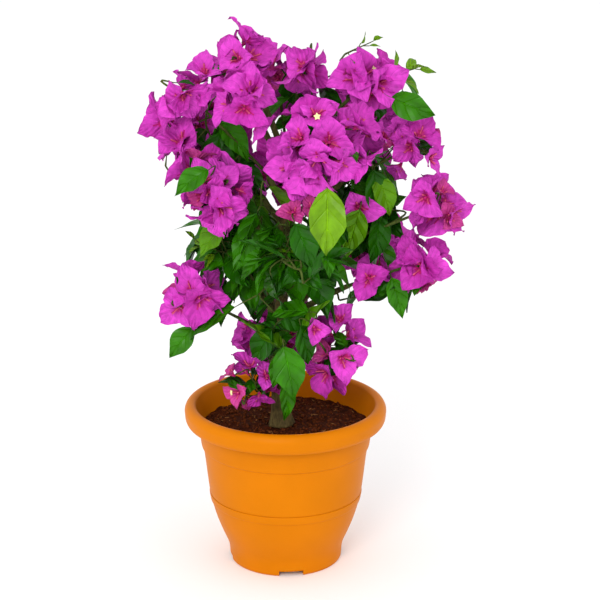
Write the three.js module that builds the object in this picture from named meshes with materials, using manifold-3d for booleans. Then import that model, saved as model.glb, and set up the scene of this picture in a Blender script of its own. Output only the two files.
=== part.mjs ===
// A flowering bougainvillea bush in a round plastic pot.
// Millimetres, +Z up. The origin is the centre of the pot's underside, and -Y is the bush's front.
// The pot and the soil are turned, the trunk and the boughs are tapering limbs, and each clump of
// leaves or blossom is one closed, knobbly solid, trimmed where it would run into its neighbours.
import * as THREE from "three";
import { mergeVertices } from "three/addons/utils/BufferGeometryUtils.js";
import Module from "manifold-3d";

const wasm = await Module();
wasm.setup();

// ---- Driving dimensions -------------------------------------------------------------------

const GAP = 0.5; // clearance between hard pieces that touch

const POT = {
  height: 213,
  rimRadius: 130, // the outside of the rolled rim
  mouthRadius: 115.3, // the rim's inner edge
  footRadius: 71,
  wall: 3,
  floorUnderside: 7, // the floor stands clear of the ground inside the foot ring
  floorTop: 10.5,
  footRingWidth: 7,
  padRadius: 24, // the flat pad in the middle of the underside
  draft: 1.5, // how far the pad's and the foot ring's inner sides slope
  segments: 34,
};
const FOOT_NOTCH = { count: 4, width: 31, height: 7, turn: 6 }; // turn is in degrees
const DRAIN_HOLE = { count: 6, radius: 5, ring: 45, sides: 8 };

// The potting mix is level round the trunk and falls a little to the pot's wall.
const SOIL = { top: 184, edgeTop: 181, levelRadius: 45 };

const TRUNK = {
  foot: [-5, -8, SOIL.top + GAP],
  waist: [-9, -4, 280],
  middle: [-2, 0, 390],
  tip: [6, 6, 566],
  flareRadius: 17,
  flareHeight: 24,
  footRadius: 11,
  tipRadius: 4.5,
  sides: 9,
  steps: 12,
};

// A bough's bend is this share of the way out from the trunk, and this share of the way up.
const BOUGH = { rootRadius: 5, tipRadius: 2.6, bendOut: 0.45, bendUp: 0.62, sides: 5, steps: 5 };

// Each clump: its centre, its half sizes along x, y and z, how far it leans to +x for each
// millimetre that it rises, and the height at which its bough leaves the trunk. A clump with no
// bough lies against the trunk or on a bough that goes past it.
const CLUMPS = {
  blossom_front: { at: [46, -108, 570], size: [66, 46, 66], lean: 0.2, bough: 430 },
  blossom_top_left: { at: [-55, -24, 662], size: [38, 38, 43], lean: 0, bough: 520 },
  blossom_left_upper: { at: [-114, -24, 624], size: [43, 46, 46], lean: 0.7, bough: 470 },
  blossom_left_outer: { at: [-138, -14, 567], size: [32, 38, 32], lean: 0 },
  blossom_left_front: { at: [-46, -92, 622], size: [42, 32, 44], lean: 0, bough: 500 },
  blossom_left_middle: { at: [-88, -80, 513], size: [50, 46, 54], lean: -0.1, bough: 400 },
  blossom_top_middle: { at: [22, 2, 646], size: [26, 26, 34], lean: 0 },
  blossom_top_right: { at: [100, -30, 634], size: [48, 42, 44], lean: 0.1, bough: 510 },
  blossom_right_upper: { at: [158, -22, 552], size: [42, 46, 52], lean: -0.2, bough: 450 },
  blossom_right_outer: { at: [188, -34, 482], size: [36, 38, 42], lean: -0.15, bough: 380 },
  blossom_right_low: { at: [162, -52, 416], size: [42, 44, 43], lean: 0.2, bough: 320 },
  blossom_left_low: { at: [-118, -34, 368], size: [50, 44, 48], lean: 0.1, bough: 290 },
  blossom_skirt_left: { at: [-38, -52, 257], size: [48, 34, 46], lean: -0.2, bough: 222 },
  blossom_skirt_right: { at: [62, -32, 290], size: [40, 40, 62], lean: 0.4, bough: 240 },
  blossom_back_top: { at: [-10, 72, 618], size: [56, 44, 50], lean: 0, bough: 530 },
  blossom_back_left: { at: [-104, 84, 546], size: [62, 56, 62], lean: 0.3, bough: 440 },
  blossom_back_right: { at: [94, 90, 560], size: [64, 58, 62], lean: -0.2, bough: 460 },
  blossom_back_middle: { at: [4, 134, 478], size: [64, 52, 58], lean: 0, bough: 390 },
  blossom_back_low: { at: [100, 94, 398], size: [58, 50, 54], lean: 0.2, bough: 310 },
  blossom_skirt_back: { at: [-10, 60, 272], size: [62, 38, 58], lean: 0.1, bough: 226 },
  leaves_front: { at: [10, -86, 440], size: [82, 44, 68], lean: -0.1, bough: 350 },
  leaves_left: { at: [-66, -2, 414], size: [46, 50, 66], lean: 0.2, bough: 310 },
  leaves_right: { at: [106, -4, 466], size: [42, 52, 62], lean: 0.1, bough: 370 },
  leaves_back: { at: [-36, 84, 392], size: [84, 50, 74], lean: 0, bough: 300 },
  leaves_upper_left: { at: [-72, 22, 520], size: [50, 46, 54], lean: 0.2 },
  leaves_upper_right: { at: [132, -6, 604], size: [34, 34, 42], lean: 0.1 },
  leaves_low_left: { at: [-86, -22, 342], size: [44, 34, 48], lean: -0.2 },
  leaves_low_right: { at: [116, -28, 376], size: [36, 34, 56], lean: 0 },
  leaves_low_front: { at: [8, -56, 330], size: [56, 34, 40], lean: 0 },
  leaves_top: { at: [32, 34, 588], size: [58, 38, 50], lean: 0 },
  leaves_back_right: { at: [76, 62, 482], size: [56, 48, 58], lean: 0 },
};
const CLUMP_GAP = 5; // clearance round a clump, part of which tidying its facets may use
const CLUMP_TIDY = 2; // the most that tidying a trimmed clump's facets moves them
const CLUMP_DETAIL = 3; // times that an octahedron's edges are split

// A clump's lumps stand up to `most` above a core, as shares of its radius. A higher sharpness
// makes a lump narrower.
const LUMPS = { count: 14, least: 0.12, most: 0.42, sharpness: 9, core: 0.78 };

const FINISHES = {
  pot: { color: 0xf08c1e, roughness: 0.45 },
  soil: { color: 0x3a1d10, roughness: 0.95 },
  bark: { color: 0x5a4632, roughness: 0.9 },
  leaves: { color: 0x2f7d1c, roughness: 0.5 },
  blossom: { color: 0xd33cc4, roughness: 0.8 },
};

// ---- Solids -------------------------------------------------------------------------------

// A closed geometry as a solid that can be cut.
function solid(geometry) {
  const bare = geometry.clone();
  bare.deleteAttribute("normal");
  bare.deleteAttribute("uv");
  const merged = mergeVertices(bare, 1e-4);
  return new wasm.Manifold(
    new wasm.Mesh({
      numProp: 3,
      vertProperties: merged.getAttribute("position").array,
      triVerts: new Uint32Array(merged.index.array),
    }),
  );
}

// A solid as a geometry with flat faces.
function geometryOf(made) {
  const { numProp, numVert, vertProperties, triVerts } = made.getMesh();
  const position = new Float32Array(numVert * 3);
  for (let i = 0; i < numVert; i++) {
    position.set(vertProperties.subarray(i * numProp, i * numProp + 3), i * 3);
  }
  const geometry = new THREE.BufferGeometry();
  geometry.setAttribute("position", new THREE.BufferAttribute(position, 3));
  geometry.setIndex(new THREE.BufferAttribute(triVerts, 1));
  const flat = geometry.toNonIndexed();
  flat.computeVertexNormals();
  return flat;
}

// A solid less each of some others.
function without(made, others) {
  return others.reduce((rest, other) => rest.subtract(other), made);
}

// The piece of a solid with the highest score, for one that a cut has left in pieces.
function bestPiece(made, score) {
  return made.decompose().reduce((best, piece) => (score(piece) > score(best) ? piece : best));
}

// Turned about the upright axis from a closed profile of [radius, height] pairs, listed with
// the solid on their left.
function turned(profile) {
  const points = profile.map(([radius, height]) => new THREE.Vector2(radius, height));
  const geometry = new THREE.LatheGeometry(points, POT.segments);
  geometry.rotateX(Math.PI / 2); // the lathe turns about Y
  return solid(geometry);
}

// ---- The pot and its soil -----------------------------------------------------------------

// The outside wall from the foot to under the rim: a short upright foot, a flared bowl with a
// thin raised ring, and a plain band that stands proud under the rim.
const OUTSIDE = [
  [POT.footRadius, 0],
  [73.4, 16],
  [76.4, 26],
  [90.4, 60],
  [96.4, 82],
  [98.6, 91],
  [107.0, 155],
  [108.8, 157],
  [113.4, 188],
  [114.8, 199],
];

// The rolled rim, a hollow lip that turns down outside the wall, from its root round to the
// mouth.
const RIM = [
  [118, 208],
  [123.5, 208],
  [126.6, 202],
  [123.4, 190.5],
  [125.4, 188.3],
  [129.4, 194],
  [POT.rimRadius, 201],
  [127.6, 209.4],
  [121.6, POT.height],
  [POT.mouthRadius, 210.2],
];

// The inside wall's radius at a height, a wall's thickness in from the outside.
function insideRadius(height) {
  const above = OUTSIDE.findIndex(([, z]) => z > height);
  const [lowRadius, low] = OUTSIDE[above - 1];
  const [highRadius, high] = OUTSIDE[above];
  return THREE.MathUtils.mapLinear(height, low, high, lowRadius, highRadius) - POT.wall;
}

// The inside wall, from the mouth down.
const INSIDE = [188, 156, 91, 60, POT.floorTop].map((height) => [insideRadius(height), height]);

function pot() {
  const ringInner = POT.footRadius - POT.footRingWidth;
  const body = turned([
    [0, 0],
    [POT.padRadius, 0],
    [POT.padRadius + POT.draft, POT.floorUnderside],
    [ringInner - POT.draft, POT.floorUnderside],
    [ringInner, 0],
    ...OUTSIDE,
    ...RIM,
    ...INSIDE,
    [0, POT.floorTop],
  ]);
  const { width, height } = FOOT_NOTCH;
  const notches = Array.from({ length: FOOT_NOTCH.count }, (_, i) => {
    const notch = new THREE.BoxGeometry(width, 4 * POT.footRingWidth, 2 * height);
    notch.translate(0, -POT.footRadius, 0);
    notch.rotateZ(THREE.MathUtils.degToRad(FOOT_NOTCH.turn) + (i * 2 * Math.PI) / FOOT_NOTCH.count);
    return solid(notch);
  });
  const { radius, sides, ring } = DRAIN_HOLE;
  const holes = Array.from({ length: DRAIN_HOLE.count }, (_, i) => {
    const hole = new THREE.CylinderGeometry(radius, radius, 3 * POT.floorTop, sides);
    hole.rotateX(Math.PI / 2);
    hole.translate(ring, 0, 0);
    hole.rotateZ(((i + 0.5) * 2 * Math.PI) / DRAIN_HOLE.count);
    return solid(hole);
  });
  return without(body, [...notches, ...holes]);
}

function soil() {
  const bottom = POT.floorTop + GAP;
  const wall = INSIDE.filter(([, height]) => height < SOIL.edgeTop)
    .map(([radius, height]) => [radius - GAP, Math.max(height, bottom)])
    .reverse();
  return turned([
    [0, bottom],
    ...wall,
    [insideRadius(SOIL.edgeTop) - GAP, SOIL.edgeTop],
    [SOIL.levelRadius, SOIL.top],
    [0, SOIL.top],
  ]);
}

// ---- Limbs --------------------------------------------------------------------------------

// A round limb along a curve, closed at both ends: a cylinder's rings are moved onto the curve,
// each with the radius for its share of the length.
function limb(curve, radiusAt, { sides, steps }, levelFoot) {
  const geometry = new THREE.CylinderGeometry(1, 1, 1, sides, steps);
  const frames = curve.computeFrenetFrames(steps, false);
  const position = geometry.getAttribute("position");
  for (let i = 0; i < position.count; i++) {
    const share = position.getY(i) + 0.5;
    const ring = Math.round(share * steps);
    const across = frames.normals[ring].clone();
    const over = frames.binormals[ring].clone();
    if (levelFoot && ring === 0) {
      across.setZ(0).normalize();
      over.setZ(0).normalize();
    }
    const point = curve
      .getPointAt(share)
      .addScaledVector(across, position.getX(i) * radiusAt(share))
      .addScaledVector(over, -position.getZ(i) * radiusAt(share));
    position.setXYZ(i, point.x, point.y, point.z);
  }
  return solid(geometry);
}

const trunkCurve = new THREE.CatmullRomCurve3(
  [TRUNK.foot, TRUNK.waist, TRUNK.middle, TRUNK.tip].map((point) => new THREE.Vector3(...point)),
);

// The trunk from its flat cut at the soil to its tip, with every radius grown by an amount.
function trunk(grow) {
  const radiusAt = (share) => {
    const risen = share * trunkCurve.getLength();
    const flare = Math.max(0, 1 - risen / TRUNK.flareHeight) ** 2;
    const taper = THREE.MathUtils.lerp(TRUNK.footRadius, TRUNK.tipRadius, share);
    return taper + flare * (TRUNK.flareRadius - TRUNK.footRadius) + grow;
  };
  return limb(trunkCurve, radiusAt, TRUNK, true);
}

// The point of the trunk's middle line at a height, by halving.
function trunkAt(height) {
  let low = 0;
  let high = 1;
  while (high - low > 1e-4) {
    const share = (low + high) / 2;
    if (trunkCurve.getPointAt(share).z < height) low = share;
    else high = share;
  }
  return trunkCurve.getPointAt(low);
}

// A bough leaves the trunk at the clump's bough height and arches up and out to its middle.
function bough(shape, grow) {
  const root = trunkAt(shape.bough);
  const end = new THREE.Vector3(...shape.at);
  const bend = root.clone().lerp(end, BOUGH.bendOut);
  bend.z = THREE.MathUtils.lerp(root.z, end.z, BOUGH.bendUp);
  const curve = new THREE.QuadraticBezierCurve3(root, bend, end);
  const radiusAt = (share) =>
    THREE.MathUtils.lerp(BOUGH.rootRadius, BOUGH.tipRadius, share) + grow;
  return limb(curve, radiusAt, BOUGH, false);
}

// ---- Clumps -------------------------------------------------------------------------------

// A repeatable run of numbers from 0 to 1.
function seeded(seed) {
  let state = seed;
  return () => {
    state = (state + 0x6d2b79f5) >>> 0;
    let mixed = Math.imul(state ^ (state >>> 15), 1 | state);
    mixed = (mixed + Math.imul(mixed ^ (mixed >>> 7), 61 | mixed)) ^ mixed;
    return ((mixed ^ (mixed >>> 14)) >>> 0) / 2 ** 32;
  };
}

// A knobbly ball: an octahedron with seeded lumps, leant over and then stretched so that it
// reaches its half sizes, grown by an amount.
function clump({ at, size, lean }, seed, grow) {
  const random = seeded(seed);
  const lumps = Array.from({ length: LUMPS.count }, () => {
    const up = 2 * random() - 1;
    const turn = 2 * Math.PI * random();
    const level = Math.sqrt(1 - up * up);
    return {
      way: new THREE.Vector3(level * Math.cos(turn), level * Math.sin(turn), up),
      height: THREE.MathUtils.lerp(LUMPS.least, LUMPS.most, random()),
    };
  });
  const geometry = new THREE.OctahedronGeometry(1, CLUMP_DETAIL);
  const position = geometry.getAttribute("position");
  const way = new THREE.Vector3();
  for (let i = 0; i < position.count; i++) {
    way.fromBufferAttribute(position, i).normalize();
    const swell = lumps.reduce(
      (sum, lump) => sum + lump.height * Math.max(0, way.dot(lump.way)) ** LUMPS.sharpness,
      LUMPS.core,
    );
    position.setXYZ(i, (way.x + lean * way.z) * swell, way.y * swell, way.z * swell);
  }
  geometry.center();
  geometry.computeBoundingBox();
  const half = geometry.boundingBox.max;
  geometry.scale(
    (size[0] + grow) / half.x,
    (size[1] + grow) / half.y,
    (size[2] + grow) / half.z,
  );
  geometry.translate(...at);
  return solid(geometry);
}

// ---- The bush -----------------------------------------------------------------------------

const bush = new THREE.Group();
bush.name = "bougainvillea";

function add(name, made, finish) {
  const material = new THREE.MeshStandardMaterial({ ...FINISHES[finish], metalness: 0 });
  const mesh = new THREE.Mesh(geometryOf(made), material);
  mesh.name = name;
  bush.add(mesh);
}

add("pot", pot(), "pot");
add("soil", soil(), "soil");
add("trunk", trunk(0), "bark");

// Each clump gives way to the trunk and to the clumps before it, and keeps its largest piece.
const clumpsTaken = [];
Object.entries(CLUMPS).forEach(([name, shape], seed) => {
  const made = without(clump(shape, seed, 0), [trunk(CLUMP_GAP), ...clumpsTaken]);
  clumpsTaken.push(clump(shape, seed, CLUMP_GAP));
  const kind = name.split("_")[0];
  add(name, bestPiece(made.simplify(CLUMP_TIDY), (piece) => piece.volume()), kind);
});

// Each bough runs from the trunk's side to where it enters a clump, so of the pieces that the
// cuts leave it keeps the one nearest to its root.
const limbsTaken = [trunk(GAP)];
Object.entries(CLUMPS).forEach(([name, shape]) => {
  if (!shape.bough) return;
  const root = trunkAt(shape.bough);
  const made = without(bough(shape, 0), [...limbsTaken, ...clumpsTaken]);
  limbsTaken.push(bough(shape, GAP));
  const nearness = (piece) => {
    const { min, max } = piece.boundingBox();
    const box = new THREE.Box3(new THREE.Vector3(...min), new THREE.Vector3(...max));
    return -box.distanceToPoint(root);
  };
  add(`bough_to_${name}`, bestPiece(made, nearness), "bark");
});

export default bush;
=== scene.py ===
# A flowering bougainvillea bush in a round orange patio pot, dressed over its CAD frame.
# Metres, +Z up, the origin under the middle of the pot, and the bush's front at -Y.
import math

import bmesh
import bpy
import numpy as np
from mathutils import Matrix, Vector, noise
from mathutils.bvhtree import BVHTree


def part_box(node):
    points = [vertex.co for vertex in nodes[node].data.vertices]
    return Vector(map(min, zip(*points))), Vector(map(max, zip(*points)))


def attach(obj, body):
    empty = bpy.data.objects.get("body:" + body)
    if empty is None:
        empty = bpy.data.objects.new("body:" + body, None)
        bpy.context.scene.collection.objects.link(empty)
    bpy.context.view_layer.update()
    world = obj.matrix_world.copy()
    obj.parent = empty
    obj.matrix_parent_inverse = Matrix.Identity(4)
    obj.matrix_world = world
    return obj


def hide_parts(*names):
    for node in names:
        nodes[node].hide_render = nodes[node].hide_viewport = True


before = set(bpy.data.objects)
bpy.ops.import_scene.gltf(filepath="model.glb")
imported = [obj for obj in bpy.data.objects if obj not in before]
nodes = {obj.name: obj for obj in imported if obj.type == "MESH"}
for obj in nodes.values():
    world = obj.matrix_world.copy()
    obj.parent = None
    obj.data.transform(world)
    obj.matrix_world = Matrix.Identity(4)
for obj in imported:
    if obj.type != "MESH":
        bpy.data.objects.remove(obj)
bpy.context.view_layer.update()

# ---- The pot --------------------------------------------------------------------------------
# A patio pot, injection moulded in one piece in satin orange plastic. Its rolled rim turns
# down outside the wall, a plain band stands proud under it, and a thin raised ring goes round
# the belly. It stands on a notched foot ring.
POT_LOW, POT_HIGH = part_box("pot")
RIM_RADIUS = (POT_HIGH[0] - POT_LOW[0]) / 2
POT_HEIGHT = POT_HIGH[2]
FOOT_RADIUS = 0.071
WALL = 0.003
FLOOR_UNDERSIDE, FLOOR_TOP = 0.007, 0.0105
FLOOR_CORNER = 0.003
FOOT_RING_WIDTH = 0.007
FOOT_DRAFT = 0.0015  # how far the foot's inner walls lean
PAD_RADIUS = 0.024
NOTCHES, NOTCH_WIDTH, NOTCH_HEIGHT, NOTCH_TURN = 4, 0.031, 0.007, math.radians(6)
DRAINS, DRAIN_RADIUS, DRAIN_RING, DRAIN_SIDES = 6, 0.005, 0.045, 20
CUT_START = -0.01  # the cutters start well under the ground
CUT_CLEARANCE = 0.0002  # and keep off the plane of the floor's underside
POT_SEGMENTS = 160
POT_CURVE_STEPS = 4
POT_ORANGE = (0.62, 0.178, 0.000, 1)

# The outside wall from the ground up, as radius and height: the upright foot, the belly with
# its raised ring, the step up to the plain band, and the neck under the rim.
POT_WALL = [
    (FOOT_RADIUS, 0.0),
    (0.0727, 0.003),
    (0.0737, 0.016),
    (0.0762, 0.0255),
    (0.0826, 0.0405),
    (0.0898, 0.059),
    (0.0957, 0.0795),
    (0.0961, 0.0815),
    (0.0974, 0.0824),
    (0.0991, 0.0918),
    (0.0981, 0.0928),
    (0.0989, 0.0955),
    (0.1017, 0.118),
    (0.1040, 0.138),
    (0.1061, 0.1538),
    (0.1064, 0.1548),
    (0.1078, 0.1560),
    (0.1087, 0.1582),
    (0.1106, 0.171),
    (0.1134, 0.188),
    (0.1148, 0.1985),
]
# The rolled rim, from inside its turned-down lip round to the pot's mouth.
POT_RIM = [
    (0.1180, 0.2075),
    (0.1225, 0.2085),
    (0.1262, 0.2045),
    (0.1260, 0.1960),
    (0.1240, 0.1900),
    (0.1248, 0.1883),
    (0.1266, 0.1886),
    (0.1288, 0.1930),
    (RIM_RADIUS, 0.1990),
    (0.1297, 0.2045),
    (0.1277, 0.2093),
    (0.1247, 0.2120),
    (0.1212, POT_HEIGHT),
    (0.1178, 0.2123),
    (0.1156, 0.2103),
    (0.1145, 0.2065),
]
MOUTH_TO_FLOOR = [0.199, 0.188, 0.171, 0.150, 0.118, 0.088, 0.059, 0.0405, 0.0255, 0.016]


def spline(points, steps):
    """Points along a smooth curve through the given ones, with so many steps to each gap."""
    points = np.asarray(points, float)
    padded = np.vstack([2 * points[0] - points[1], points, 2 * points[-1] - points[-2]])
    t = (np.arange(steps) / steps)[:, None]
    out = []
    for a, b, c, d in zip(padded, padded[1:], padded[2:], padded[3:]):
        out.append(
            0.5 * (2 * b + (c - a) * t + (2 * a - 5 * b + 4 * c - d) * t**2
                   + (3 * b - a - 3 * c + d) * t**3)
        )
    return np.vstack([*out, points[-1:]])


def wall_radius(height):
    """The inside wall's radius at a height."""
    radii, heights = zip(*POT_WALL)
    return float(np.interp(height, heights, radii)) - WALL


def new_piece(name, points, faces, material, uv=None):
    """A smooth-shaded piece that rides on the plant's one body. uv has one pair for each point."""
    mesh = bpy.data.meshes.new(name)
    mesh.from_pydata(np.asarray(points).tolist(), [], faces)
    mesh.materials.append(material)
    mesh.polygons.foreach_set("use_smooth", np.ones(len(mesh.polygons), bool))
    if uv is not None:
        corners = np.empty(len(mesh.loops), np.int32)
        mesh.loops.foreach_get("vertex_index", corners)
        mesh.uv_layers.new(name="Blade").uv.foreach_set("vector", np.asarray(uv)[corners].ravel())
    mesh.update()
    piece = bpy.data.objects.new(name, mesh)
    bpy.context.collection.objects.link(piece)
    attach(piece, "root")
    return piece


def turned(profile, segments):
    """Points and faces of a closed solid turned about the upright axis. The profile's radius and
    height pairs start and end on the axis, with the solid on their left."""
    turns = np.arange(segments) * 2 * math.pi / segments
    rings = [
        np.column_stack([r * np.cos(turns), r * np.sin(turns), np.full(segments, z)])
        for r, z in profile[1:-1]
    ]
    points = np.vstack([*rings, [[0, 0, profile[0][1]]], [[0, 0, profile[-1][1]]]])
    start, end = len(points) - 2, len(points) - 1
    faces = []
    for i in range(segments):
        j = (i + 1) % segments
        faces.append((start, j, i))
        for ring in range(len(rings) - 1):
            low, high = ring * segments, (ring + 1) * segments
            faces.append((low + i, low + j, high + j, high + i))
        last = (len(rings) - 1) * segments
        faces.append((last + i, last + j, end))
    return points, faces


def new_material(name):
    """A material with its Principled shader, and the tree that both are in."""
    material = bpy.data.materials.new(name)
    material.use_nodes = True
    tree = material.node_tree
    return material, tree, tree.nodes["Principled BSDF"]


def add_node(tree, kind, inputs=(), **settings):
    """A shader node with its settings, its inputs set to values or linked from other outputs."""
    node = tree.nodes.new(kind)
    for key, value in settings.items():
        setattr(node, key, value)
    for key, value in dict(inputs).items():
        if isinstance(value, bpy.types.NodeSocket):
            tree.links.new(value, node.inputs[key])
        else:
            node.inputs[key].default_value = value
    return node


def times_plus(tree, value, factor, addend):
    """A value times a factor, plus an addend."""
    return add_node(tree, "ShaderNodeMath", {0: value, 1: factor, 2: addend},
                    operation="MULTIPLY_ADD").outputs[0]


def noise_mask(tree, scale, detail):
    """Noise that is fixed to the object, as a mask."""
    where = add_node(tree, "ShaderNodeTexCoord").outputs["Object"]
    return add_node(tree, "ShaderNodeTexNoise",
                    {"Vector": where, "Scale": scale, "Detail": detail}).outputs["Fac"]


def remapped(tree, value, start, end, first, last, **settings):
    """A value's run from start to end, spread from first to last."""
    return add_node(tree, "ShaderNodeMapRange",
                    {"Value": value, "From Min": start, "From Max": end,
                     "To Min": first, "To Max": last}, **settings).outputs["Result"]


def lightened(tree, colour, value):
    """A colour made lighter or darker by a value that changes over the surface."""
    return add_node(tree, "ShaderNodeHueSaturation",
                    {"Color": colour, "Value": value}).outputs["Color"]


def add_relief(tree, shader, height, strength, distance):
    """Bumps on a material's surface."""
    bump = add_node(tree, "ShaderNodeBump",
                    {"Height": height, "Strength": strength, "Distance": distance})
    tree.links.new(bump.outputs["Normal"], shader.inputs["Normal"])


def set_finish(shader, roughness, specular):
    """An even roughness and strength of gloss."""
    shader.inputs["Roughness"].default_value = roughness
    shader.inputs["Specular IOR Level"].default_value = specular


def uneven_tone():
    """A node group that lets a colour drift lighter and darker over the surface, by patches of a
    size that Scale sets, and gives the same drift as a plain mask."""
    group = bpy.data.node_groups.new("Uneven tone", "ShaderNodeTree")
    for name, kind in (("Color", "NodeSocketColor"), ("Scale", "NodeSocketFloat"),
                       ("Amount", "NodeSocketFloat")):
        group.interface.new_socket(name, in_out="INPUT", socket_type=kind)
    group.interface.new_socket("Color", in_out="OUTPUT", socket_type="NodeSocketColor")
    group.interface.new_socket("Mask", in_out="OUTPUT", socket_type="NodeSocketFloat")
    given = add_node(group, "NodeGroupInput").outputs
    patches = noise_mask(group, given["Scale"], 4)
    drift = remapped(group, patches, 0.3, 0.7, -1, 1)
    lift = times_plus(group, drift, given["Amount"], 1.0)
    shade = lightened(group, given["Color"], lift)
    add_node(group, "NodeGroupOutput", {"Color": shade, "Mask": patches})
    return group


TONE = uneven_tone()


def toned(tree, colour, scale, amount):
    """An Uneven tone group placed in a material. Its outputs are Color and Mask."""
    node = add_node(tree, "ShaderNodeGroup", node_tree=TONE)
    node.inputs["Color"].default_value = colour
    node.inputs["Scale"].default_value = scale
    node.inputs["Amount"].default_value = amount
    return node.outputs


def pot_plastic():
    """Satin moulded plastic: an even orange with faint flow marks, a slightly uneven sheen and a
    fine grain."""
    material, tree, shader = new_material("pot plastic")
    tone = toned(tree, POT_ORANGE, 14, 0.05)
    tree.links.new(tone["Color"], shader.inputs["Base Color"])
    sheen = remapped(tree, tone["Mask"], 0, 1, 0.36, 0.5)
    tree.links.new(sheen, shader.inputs["Roughness"])
    grain = noise_mask(tree, scale=900, detail=2)
    waves = noise_mask(tree, scale=22, detail=1)
    add_relief(tree, shader, times_plus(tree, waves, 6.0, grain), 0.25, 0.0002)
    shader.inputs["Specular IOR Level"].default_value = 0.06
    return material


def cut(piece, cutters):
    """Cuts the joined cutter meshes out of a piece and applies the cut."""
    points = []
    faces = []
    for cutter_points, cutter_faces in cutters:
        faces += [tuple(len(points) + i for i in face) for face in cutter_faces]
        points += cutter_points
    mesh = bpy.data.meshes.new("cutter")
    mesh.from_pydata(points, [], faces)
    tool = bpy.data.objects.new("cutter", mesh)
    bpy.context.collection.objects.link(tool)
    knife = piece.modifiers.new("cut", "BOOLEAN")
    knife.operation = "DIFFERENCE"
    knife.object = tool
    with bpy.context.temp_override(object=piece, active_object=piece):
        bpy.ops.object.modifier_apply(modifier=knife.name)
    bpy.data.objects.remove(tool)


def upright_prism(corners, low, high):
    """A closed upright prism over corners given anticlockwise."""
    n = len(corners)
    points = [(x, y, low) for x, y in corners] + [(x, y, high) for x, y in corners]
    faces = [tuple(reversed(range(n))), tuple(range(n, 2 * n))]
    faces += [(i, (i + 1) % n, n + (i + 1) % n, n + i) for i in range(n)]
    return points, faces


def build_pot():
    """The pot with its foot notches and drain holes."""
    ring_inner = FOOT_RADIUS - FOOT_RING_WIDTH
    underside = [
        (0, 0),
        (PAD_RADIUS, 0),
        (PAD_RADIUS + FOOT_DRAFT, FLOOR_UNDERSIDE),
        (ring_inner - FOOT_DRAFT, FLOOR_UNDERSIDE),
        (ring_inner, 0),
    ]
    inside = [(wall_radius(z), z) for z in MOUTH_TO_FLOOR]
    inside += [(wall_radius(FLOOR_TOP) - FLOOR_CORNER, FLOOR_TOP), (0, FLOOR_TOP)]
    outside = spline(POT_WALL, POT_CURVE_STEPS).tolist()
    rim = spline(POT_RIM, POT_CURVE_STEPS).tolist()
    points, faces = turned([*underside, *outside, *rim, *inside], POT_SEGMENTS)
    pot = new_piece("pot_body", points, faces, pot_plastic())
    cutters = []
    for i in range(NOTCHES):
        turn = NOTCH_TURN + i * 2 * math.pi / NOTCHES - math.pi / 2
        out = Vector((math.cos(turn), math.sin(turn)))
        side = Vector((-out.y, out.x)) * NOTCH_WIDTH / 2
        near, far = out * (FOOT_RADIUS - 2 * FOOT_RING_WIDTH), out * (FOOT_RADIUS + FOOT_RING_WIDTH)
        cutters.append(upright_prism([near - side, far - side, far + side, near + side],
                                     CUT_START, NOTCH_HEIGHT - CUT_CLEARANCE))
    for i in range(DRAINS):
        turn = (i + 0.5) * 2 * math.pi / DRAINS
        middle = Vector((math.cos(turn), math.sin(turn))) * DRAIN_RING
        corners = [
            middle + Vector((math.cos(a), math.sin(a))) * DRAIN_RADIUS
            for a in np.linspace(0, 2 * math.pi, DRAIN_SIDES, endpoint=False)
        ]
        cutters.append(upright_prism(corners, CUT_START, 2 * FLOOR_TOP))
    cut(pot, cutters)
    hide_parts("pot")


build_pot()

# ---- The soil -------------------------------------------------------------------------------
# Dark potting mix of bark, peat and coir, filled in loose to a thumb's width below the rim and
# settled by watering. Crumbs and pale husks lie on top of it.
SOIL_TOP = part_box("soil")[1][2]
SOIL_EDGE_DROP = 0.003
SOIL_LEVEL_RADIUS = 0.045
SOIL_GAP = 0.0005
SOIL_SEGMENTS = 150
SOIL_RINGS = 54
SOIL_SINK = 0.0015
SOIL_SIDES = (0.02, 0.175)  # between these heights the mix lies against the pot's wall
CRUMBLE_FROM = 0.178  # above this height it is crumbled
SOIL_FOOT_INSET, SOIL_FOOT_HEIGHT = 0.006, 0.0255
CRUMBLE, LUMPS_PER_METRE = 0.0035, 70
BITS_EDGE_GAP = 0.004
SOIL_BROWN = (0.050, 0.0095, 0.0020, 1)
CRUMB_BROWN = (0.110, 0.026, 0.006, 1)
HUSK_TAN = (0.26, 0.11, 0.035, 1)
CRUMB_COUNT, HUSK_COUNT = 900, 150
soil_random = np.random.default_rng(11)


def potting_mix(name, colour, scale, amount):
    """Rough, damp granular matter that drifts lighter and darker from crumb to crumb."""
    material, tree, shader = new_material(name)
    tone = toned(tree, colour, scale, amount)
    tree.links.new(tone["Color"], shader.inputs["Base Color"])
    where = add_node(tree, "ShaderNodeTexCoord").outputs["Object"]
    crumbs = add_node(tree, "ShaderNodeTexVoronoi",
                      {"Vector": where, "Scale": scale * 1.6}).outputs["Distance"]
    add_relief(tree, shader, crumbs, 0.8, 0.0012)
    set_finish(shader, roughness=0.9, specular=0.08)
    return material


def soil_height(x, y):
    """The height of the crumbly top of the soil over a point."""
    radius = math.hypot(x, y)
    edge = wall_radius(SOIL_TOP) - SOIL_GAP
    fall = SOIL_EDGE_DROP * max(0.0, radius - SOIL_LEVEL_RADIUS) / (edge - SOIL_LEVEL_RADIUS)
    lumps = noise.fractal(Vector((x, y, 0.3)) * LUMPS_PER_METRE, 0.7, 2.2, 4)
    return SOIL_TOP - SOIL_SINK - fall + CRUMBLE * lumps


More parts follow.
